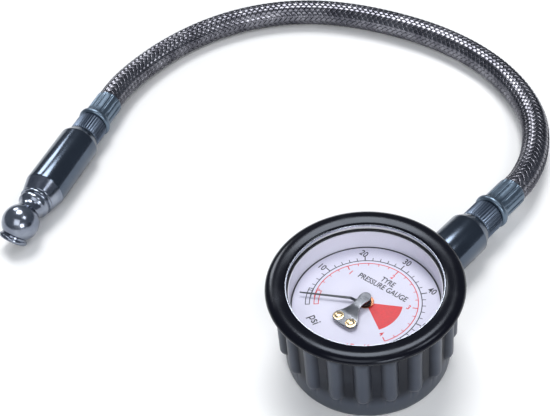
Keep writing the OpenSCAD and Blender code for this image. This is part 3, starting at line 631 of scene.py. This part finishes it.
psi_ticks = []
for value in range(2, PSI_FULL + 1, 2):
    end, width = (20.1, LONG_MARK) if value % 10 == 0 else (19.4, SHORT_MARK)
    psi_ticks.append(tick(at_psi(value), 18.2, end, width))
psi_arc = arc_band(18.0, 18.3, at_psi(PSI_FULL), at_psi(0))
psi_box = box_outline(18.1, 19.7, ZERO - ZERO_HALF, ZERO + ZERO_HALF, BOX_LINE)
# The painted edge shadow goes on with the black print.
painted_edge_shadow = [[polar(r, 2 * math.pi * i / 128) for i in range(128)] for r in PAINTED_EDGE_SHADOW]
black = [print_shapes("psi_ticks", psi_ticks), print_shapes("psi_arc", [psi_arc]),
         print_shapes("psi_box", psi_box), print_shapes("painted_edge_shadow", painted_edge_shadow)]
for value, radius, lead in PSI_NUMBERS:
    place = polar(radius, at_psi(value) + math.radians(lead))
    black.append(print_text(f"psi_{value}", str(value), 3.3, place))
black.append(print_text("psi_word", "psi", 4.3, polar(17.7, math.radians(242)), math.radians(-26)))
black.append(print_text("word_top", "TYRE", 3.0, (0.2, 11.2), math.radians(2), 0.76))
black.append(print_text("word_below", "PRESSURE GAUGE", 3.0, (0.2, 8.4), math.radians(3), 0.8))
# The black ink also paints the shadow ring at the dial's edge.
join_print("dial_print_black_and_edge_shadow", black, ink("ink_black_and_edge_shadow", (0.015, 0.015, 0.022)))

bar_ticks = []
for step in range(1, 5 * BAR_FULL + 1):
    start, width = (15.2, LONG_MARK) if step % 5 == 0 else (16.0, SHORT_MARK)
    bar_ticks.append(tick(at_bar(step / 5), start, 16.88, width))
bar_arc = arc_band(16.8, 17.08, at_bar(BAR_FULL), at_bar(0))
bar_box = box_outline(15.2, 16.86, ZERO - ZERO_HALF, ZERO + ZERO_HALF, BOX_LINE)
sector = [(0, 0)] + [polar(12, at_bar(4) + (at_bar(3) - at_bar(4)) * i / 24) for i in range(25)]
red = [print_shapes("bar_ticks", bar_ticks), print_shapes("bar_box", bar_box),
       print_shapes("bar_arc", [bar_arc]), print_shapes("warning_sector", [sector])]
for value in range(1, BAR_FULL + 1):
    red.append(print_text(f"bar_{value}", str(value), 2.6, polar(13.9, at_bar(value))))
unit_place = polar(18.1, math.radians(-56))
red.append(print_text("unit_word", "kPa x100", 2.6, unit_place, math.radians(34), 0.9))
join_print("dial_print_red", red, ink("ink_red", (0.66, 0.035, 0.04)))
paint("dial_plate", dial_enamel())

# ---------------------------------------------------------------- movement
# The bronze pressure tube and its brass block, link, sector and pinion work
# under the dial, screwed to the back of the case. The small pieces hidden in
# the fittings have the same finishes.
brass = plated("brass", (0.78, 0.58, 0.28), 0.2, 0.34, streak=(1, 1, 4))
bronze = plated("tube_bronze", (0.60, 0.38, 0.20), 0.25, 0.4)
steel = plated("plain_steel", (0.55, 0.56, 0.58), 0.22, 0.38)
for name in ("pinion_arbor", "hairspring_stud", "sector_gear", "tube_tip", "socket_block",
             "movement_plate", "bridge_pillars", "depressor_pin"):
    paint(name, brass)
for name in ("hairspring", "bourdon_tube"):
    paint(name, bronze)
for name in ("sector_stud", "sector_clip", "link", "link_clips", "movement_screws", "case_screws",
             "swivel_ring"):
    paint(name, steel)
for name in ("stem_washer", "swivel_seal", "valve_seal"):
    paint(name, seal)

# ---------------------------------------------------------------- bridge and its screws
# A pear-shaped bridge of blued steel, stamped and bent up over the pointer's
# hub, held by two brass screws with domed heads on turned washers.
BRIDGE_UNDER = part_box("bridge")[0].z / MM
BRIDGE_RISE = 1.4
BRIDGE_THICKNESS = 0.6
BRIDGE_STATIONS = [
    (1.95, 0.5, 1), (1.55, 1.25, 1), (0.8, 1.8, 1), (-0.2, 1.98, 1), (-1.3, 1.85, 1),
    (-2.5, 1.5, 1), (-3.7, 1.38, 0.98), (-4.6, 1.6, 0.9), (-5.8, 2.1, 0.6), (-7, 2.85, 0.28),
    (-8.2, 3.7, 0.04), (-9.3, 4.4, 0), (-10.4, 4.6, 0), (-11.4, 4.35, 0), (-12.1, 3.75, 0),
    (-12.55, 2.8, 0),
]


def bridge_steel():
    """Blued steel brushed across, in patches of uneven tone."""
    material, tree, shader = new_material("bridge_steel", (0.30, 0.31, 0.33), metallic=1.0)
    brush = noise(tree, 1500, 3, stretch=(0.25, 2.5, 1))
    patches = noise(tree, 260, 4)
    tree.links.new(shades(tree, patches, [
        (0.3, (0.09, 0.095, 0.105)), (0.7, (0.19, 0.195, 0.21)),
    ]), shader.inputs["Base Color"])
    tree.links.new(vary(tree, brush, 0.3, 0.7, 0.26, 0.42), shader.inputs["Roughness"])
    bump(tree, shader, brush, 0.12, 0.02 * MM)
    return material


def strip(name, stations):
    """A flat strip pulled out edge by edge; a station is y, half width and share of the rise."""
    bpy.ops.object.select_all(action="DESELECT")
    bpy.ops.mesh.primitive_plane_add(size=2 * MM)
    piece = bpy.context.object
    piece.name = piece.data.name = name
    choose(piece, [v.co.y > 0 for v in piece.data.vertices])
    bpy.ops.mesh.delete(type="VERT")
    bpy.ops.mesh.select_all(action="SELECT")
    y, half, rise = stations[0]
    height = BRIDGE_UNDER + BRIDGE_RISE * rise
    bpy.ops.transform.resize(value=(half, 1, 1), center_override=(0, 0, 0))
    bpy.ops.transform.translate(value=(0, (y + 1) * MM, height * MM))
    for next_y, next_half, next_rise in stations[1:]:
        next_height = BRIDGE_UNDER + BRIDGE_RISE * next_rise
        move = (0, (next_y - y) * MM, (next_height - height) * MM)
        bpy.ops.mesh.extrude_region_move(TRANSFORM_OT_translate={"value": move})
        bpy.ops.transform.resize(value=(next_half / half, 1, 1), center_override=(0, 0, 0))
        y, half, height = next_y, next_half, next_height
    bpy.ops.mesh.select_all(action="SELECT")
    bpy.ops.mesh.normals_make_consistent(inside=False)
    bpy.ops.object.mode_set(mode="OBJECT")
    return piece


bridge = strip("bridge_strip", BRIDGE_STATIONS)
finish_with(bridge, "SOLIDIFY", thickness=BRIDGE_THICKNESS * MM, offset=1)
finish_with(bridge, "BEVEL", width=0.12 * MM, segments=2, limit_method="ANGLE",
            angle_limit=math.radians(50))
finish_with(bridge, "SUBSURF", levels=2, render_levels=2)
smooth_by_angle(bridge, 60)
bridge.data.materials.clear()
bridge.data.materials.append(bridge_steel())
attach(bridge, "gauge")
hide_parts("bridge")

SCREWS = (("left", -2.5, -10.5, 35), ("right", 2.5, -10.5, -20))  # side, x, y and the slot's turn
SLOT_SIZE = (4, 0.3, 0.5)
SLOT_HEIGHT = 0.75
SCREW_PROFILE = [
    (0.6, -2.4), (0.6, 0), (1.78, 0), (1.8, 0.12), (1.7, 0.22), (1.45, 0.24), (1.4, 0.2),
    (1.35, 0.2), (1.3, 0.34), (1.18, 0.5), (0.95, 0.62), (0.6, 0.69), (0.25, 0.71),
]
for side, x, y, slot_turn in SCREWS:
    screw = turned(f"bridge_screw_{side}", SCREW_PROFILE, 48)
    bpy.ops.object.select_all(action="DESELECT")
    bpy.ops.mesh.primitive_cube_add(size=1)
    slot = bpy.context.object
    slot_shape = Matrix.Diagonal((*(width * MM for width in SLOT_SIZE), 1))
    slot.data.transform(Matrix.Translation((0, 0, SLOT_HEIGHT * MM)) @ slot_shape)
    finish_with(screw, "BOOLEAN", operation="DIFFERENCE", object=slot, solver="EXACT")
    bpy.data.objects.remove(slot)
    turn = Matrix.Rotation(math.radians(slot_turn), 4, "Z")
    on_bridge = Matrix.Translation((x * MM, y * MM, (BRIDGE_UNDER + BRIDGE_THICKNESS) * MM))
    screw.data.transform(on_bridge @ turn)
    smooth_by_angle(screw, 35)
    screw.data.materials.clear()
    screw.data.materials.append(plated("screw_brass", (0.80, 0.64, 0.40), 0.14, 0.26, wear=0.25))
    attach(screw, "gauge")
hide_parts("bridge_screws")

# ---------------------------------------------------------------- pointer
# A thin black pointer staked on a copper-plated hub, which is pressed on the
# pinion's arbor under the bridge.
paint("pointer", moulded("pointer_black", (0.020, 0.024, 0.032), 0.35))
paint("pointer_hub", plated("hub_copper", (0.62, 0.26, 0.14), 0.16, 0.28))

# ---------------------------------------------------------------- chrome bodies
# Two turned steel bodies, plated a dark bluish chrome. The one at the gauge takes the case's stem.
# The other takes the swivelling chuck in its polished nose, whose taper takes the head's brighter
# plate, partly as a painted highlight.
BODY_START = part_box("gauge_body")[0].y / MM
BODY_SIDES = 96
GAUGE_BODY = [
    (4.81, 9.2), (4.81, 0.4), (5.2, 0), (7.5, 0), (7.86, 0.14), (8, 0.5), (8, 25.7),
    (7.96, 25.95), (7.84, 26.2), (6.45, 29.0), (6.25, 29.3), (5.8, 29.68), (4.2, 29.7),
    (4.02, 29.6), (4.02, 22),
]
CHUCK_BODY = [
    (4.02, 7), (4.02, 0.1), (4.2, 0), (5.8, 0.02), (6.25, 0.4), (6.45, 0.7), (7.84, 3.5),
    (7.96, 3.75), (8, 4), (8, 31.1), (7.97, 31.35), (7.86, 31.6), (6.6, 36.4), (6.45, 36.75),
    (6.2, 36.98), (5.9, 37), (4.7, 37), (4.56, 36.9), (4.56, 24),
]
CHUCK_BODY_AT = 22.9
TAPER_FROM = 31.5


def along_stem(y):
    """The place at y on the stem's line, with +Z turned along it."""
    return Matrix.Translation((0, y * MM, STEM_HEIGHT * MM)) @ Matrix.Rotation(-math.pi / 2, 4, "X")


def along_chuck(s):
    """The place at s along the chuck from the hose's end, with +Z turned along it."""
    turn = Matrix.Rotation(CHUCK_YAW, 4, "Z") @ Matrix.Rotation(math.pi / 2 - CHUCK_LIFT, 4, "Y")
    return Matrix.Translation(CHUCK_START) @ turn @ Matrix.Translation((0, 0, s * MM))


def set_piece(piece, place, material, body, cad_node):
    """Puts a finished piece in its place and in the CAD node's stead."""
    piece.data.transform(place)
    piece.data.materials.clear()
    piece.data.materials.append(material)
    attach(piece, body)
    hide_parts(cad_node)


def bright_plate():
    """Satin plating, brighter than on the bodies, with faint rub marks."""
    material, tree, shader = new_material("bright_plate", (0.30, 0.33, 0.39), metallic=1.0)
    rub = noise(tree, 420, 4)
    patches = noise(tree, 150, 4)
    tree.links.new(shades(tree, patches, [
        (0.3, (0.15, 0.17, 0.22)), (0.55, (0.23, 0.255, 0.31)), (0.8, (0.33, 0.36, 0.42)),
    ]), shader.inputs["Base Color"])
    tree.links.new(vary(tree, rub, 0.3, 0.7, 0.15, 0.25), shader.inputs["Roughness"])
    bump(tree, shader, rub, 0.03, 0.02 * MM)
    return material


chrome = plated("fitting_chrome", (0.095, 0.118, 0.155), 0.15, 0.2,
                scale=160, wear=0.15, grain=0.01)
gauge_body = turned("gauge_body_turned", GAUGE_BODY, BODY_SIDES)
smooth_by_angle(gauge_body, 40)
set_piece(gauge_body, along_stem(BODY_START), chrome, "gauge", "gauge_body")
chuck_body = turned("chuck_body_turned", CHUCK_BODY, BODY_SIDES)
smooth_by_angle(chuck_body, 40)
# The taper's faces take the brighter plate, partly as a painted highlight.
on_taper = [face.center.z > TAPER_FROM * MM for face in chuck_body.data.polygons]
set_piece(chuck_body, along_chuck(CHUCK_BODY_AT), chrome, "gauge", "chuck_body")
bright = bright_plate()
chuck_body.data.materials.append(bright)
chuck_body.data.polygons.foreach_set("material_index", [int(flag) for flag in on_taper])

# ---------------------------------------------------------------- knurled hose ends
# Turned hose ends, screwed into the bodies by their straight-knurled collars;
# the barb that the hose is pushed on is inside.
FLUTES = 36
KNURL_RADIUS = 6.15
KNURL_LENGTH = 8.6
FLUTE_DEPTHS = ((0, 0.34), (1, 0.1), (3, 0.1))  # of the lines in each group of four
GAUGE_KNURL_AT = 59.9
CHUCK_KNURL_AT = 22.9
KNURL_PROFILE = [
    (2.5, 19.5), (2.5, KNURL_LENGTH), (5.3, KNURL_LENGTH), (5.75, KNURL_LENGTH - 0.1),
    (KNURL_RADIUS - 0.05, KNURL_LENGTH - 0.5), (KNURL_RADIUS, KNURL_LENGTH - 0.9),
    (KNURL_RADIUS, 0.9), (KNURL_RADIUS - 0.05, 0.5), (5.75, 0.1), (5.3, 0), (4, 0), (4, -7.8),
]


def knurled_end(name):
    """The turned blank, with every second line of its collar pressed in as a flute."""
    piece = turned(name, KNURL_PROFILE, FLUTES * 4)
    co, radius, line = lines_of(piece, FLUTES * 4, 4)
    on_collar = np.abs(radius - KNURL_RADIUS) < 0.06
    for k, depth in FLUTE_DEPTHS:
        press(piece, on_collar & (line == k), 1 - depth / KNURL_RADIUS)
    smooth_by_angle(piece, 25)
    return piece


knurl_steel = plated("knurl_steel", (0.11, 0.14, 0.19), 0.3, 0.38, scale=300, grain=0.01)
turn_round = Matrix.Rotation(math.pi, 4, "X")
gauge_knurl = knurled_end("gauge_hose_end_turned")
set_piece(gauge_knurl, along_stem(GAUGE_KNURL_AT), knurl_steel, "gauge",
          "gauge_hose_end")
chuck_knurl = knurled_end("chuck_hose_end_turned")
set_piece(chuck_knurl, along_chuck(CHUCK_KNURL_AT) @ turn_round, knurl_steel, "gauge",
          "chuck_hose_end")

# ---------------------------------------------------------------- ferrules
# Steel shells with a rolled bead, crimped over the braid in a twelve-jaw press,
# which leaves flats with fine ridges between them.
JAWS = 12
JAW_DEPTHS = ((0, -0.02), (1, 0.2), (2, 0.17), (10, 0.17), (11, 0.2))  # of the lines under each jaw
FERRULE_RADIUS = 5.5
BEAD = 3.0
FERRULE_LENGTH = 11.3
FERRULE_END = BEAD + FERRULE_LENGTH
FERRULE_PROFILE = [
    (2.6, 0.2), (5.4, 0.12), (5.9, 0.2), (6.35, 0.5), (6.62, 0.95), (6.7, 1.5), (6.62, 2.05),
    (6.35, 2.5), (5.95, 2.8), (5.62, 3.05), (FERRULE_RADIUS, 3.5), (FERRULE_RADIUS, 6),
    (FERRULE_RADIUS, 9), (FERRULE_RADIUS, 12), (FERRULE_RADIUS, 13.6), (5.46, 14.05),
    (5.38, 14.25), (5.3, FERRULE_END),
    (5.24, 14.2), (5.22, 13.5), (2.6, 13.4),
]


def crimped(name):
    """The turned shell, pressed in along the lines between the jaws' ridges."""
    piece = turned(name, FERRULE_PROFILE, JAWS * 12)
    co, radius, line = lines_of(piece, JAWS * 12, 12)
    on_shell = (np.abs(radius - FERRULE_RADIUS) < 0.02) & (co[:, 2] > BEAD)
    for k, depth in JAW_DEPTHS:
        press(piece, on_shell & (line == k), 1 - depth / FERRULE_RADIUS)
    smooth_by_angle(piece, 30)
    return piece


GAUGE_BEAD_AT = 68.5
CHUCK_BEAD_AT = 14.3
ferrule_steel = plated("ferrule_steel", (0.15, 0.20, 0.26), 0.3, 0.42, wear=0.2, grain=0.02)
gauge_ferrule = crimped("gauge_ferrule_crimped")
set_piece(gauge_ferrule, along_stem(GAUGE_BEAD_AT), ferrule_steel, "gauge",
          "gauge_ferrule")
chuck_ferrule = crimped("chuck_ferrule_crimped")
set_piece(chuck_ferrule, along_chuck(CHUCK_BEAD_AT) @ turn_round, ferrule_steel, "gauge",
          "chuck_ferrule")

# ---------------------------------------------------------------- chuck head
# A turned and satin-plated ball head on a spigot that swivels in the chuck's
# body. An angled flanged mouth is bored in the ball to go over the tyre valve.
FACE_AT = 60.05
BALL_AT = 72.6
BALL_RADIUS = 7
HEAD_SIDES = 96
HEAD_TWIST = math.radians(-20)
MOUTH_TILT = math.radians(45)
HEAD_PROFILE = [
    (1.3, -13), (4.3, -12.98), (4.5, -12.7), (4.5, -11.2), (3.9, -11.2), (3.9, -10.1),
    (4.5, -10.1), (4.5, -5.95), (3.0, -5.95), (3.0, -4.35), (4.5, -4.35), (4.5, 0.02),
    (6.1, 0), (6.4, 0.1), (6.5, 0.35), (6.5, 0.85), (6.38, 1.1), (6.1, 1.2), (5.78, 1.26),
    (5.7, 1.36), (5.76, 1.5), (5.96, 1.85), (6.05, 2.5), (5.98, 3.2), (5.76, 3.75), (5.4, 4.1),
    (5.08, 4.35), (4.9, 4.8), (4.82, 5.5), (4.84, 6.2), (4.95, 6.9), (5.12, 7.5),
    *((BALL_RADIUS * math.sin(math.radians(t)),
       BALL_AT - FACE_AT - BALL_RADIUS * math.cos(math.radians(t))) for t in range(50, 180, 5)),
]
LIP_PROFILE = [
    (4.8, 3.6), (4.8, 5.7), (4.95, 5.85), (5.15, 5.92), (5.34, 6.08), (5.4, 6.4), (5.4, 6.75),
    (5.3, 7.08), (5.08, 7.3), (4.75, 7.4), (0.5, 7.4),
]
BORE_PROFILE = [
    (1.6, -1), (1.6, 0.9), (4.5, 0.9), (4.5, 2.9), (4.1, 2.9), (4.1, 6.9), (4.2, 7.2),
    (4.45, 7.45), (4.45, 9),
]
MOUTH_STEPS = (("mouth_lip", LIP_PROFILE, "UNION"), ("mouth_bore", BORE_PROFILE, "DIFFERENCE"))

head = turned("ball_head_turned", HEAD_PROFILE, HEAD_SIDES)
mouth = (Matrix.Translation((0, 0, (BALL_AT - FACE_AT) * MM))
         @ Matrix.Rotation(HEAD_TWIST, 4, "Z") @ Matrix.Rotation(MOUTH_TILT, 4, "Y"))
for name, profile, operation in MOUTH_STEPS:
    tool = turned(name, profile, HEAD_SIDES)
    tool.data.transform(mouth)
    finish_with(head, "BOOLEAN", operation=operation, object=tool, solver="EXACT")
    bpy.data.objects.remove(tool)
smooth_by_angle(head, 40)
set_piece(head, along_chuck(FACE_AT), bright, "chuck_head", "ball_head")

# ---------------------------------------------------------------- floor and light
# A pale floor under soft studio light: a broad even light from above and
# behind, and four lamps round it to fill and to draw streaks on the metal.
MIDDLE = (-0.06, 0.05, 0.02)
LAMPS = (  # name, place, size and power; all are aimed at the middle
    ("left", (-1.25, 0.48, 0.95), 0.4, 5), ("right", (1.35, -0.72, 0.67), 0.55, 9),
    ("over_right", (0.68, 0.44, 1.3), 0.4, 3), ("front", (0.42, -0.95, 1.15), 0.9, 6),
)
bpy.ops.object.select_all(action="DESELECT")
bpy.ops.mesh.primitive_plane_add(size=6)
floor = bpy.context.object
floor.name = "floor"
floor.data.materials.append(new_material("floor_white", (0.97, 0.97, 0.97), roughness=0.9)[0])

world = bpy.data.worlds.new("studio")
bpy.context.scene.world = world
world.use_nodes = True
background = world.node_tree.nodes["Background"]
background.inputs["Color"].default_value = (0.72, 0.80, 0.92, 1)
background.inputs["Strength"].default_value = 0.28
bpy.context.scene.view_settings.view_transform = "Standard"


def shine(name, kind, power, place, way):
    """Adds one light of this kind and power at a place, shining this way."""
    data = bpy.data.lights.new(name, kind)
    data.energy = power
    light = bpy.data.objects.new(name, data)
    bpy.context.scene.collection.objects.link(light)
    turn = way.to_track_quat("-Z", "Y").to_matrix().to_4x4()
    light.matrix_world = Matrix.Translation(place) @ turn
    return data


for name, place, size, power in LAMPS:
    shine(name, "AREA", power, place, Vector(MIDDLE) - Vector(place)).size = size
sky_light = shine("sky_light", "SUN", 1.75, (0, 0, 0), Vector((0.26, -0.32, -0.95)))
sky_light.angle = math.radians(26)
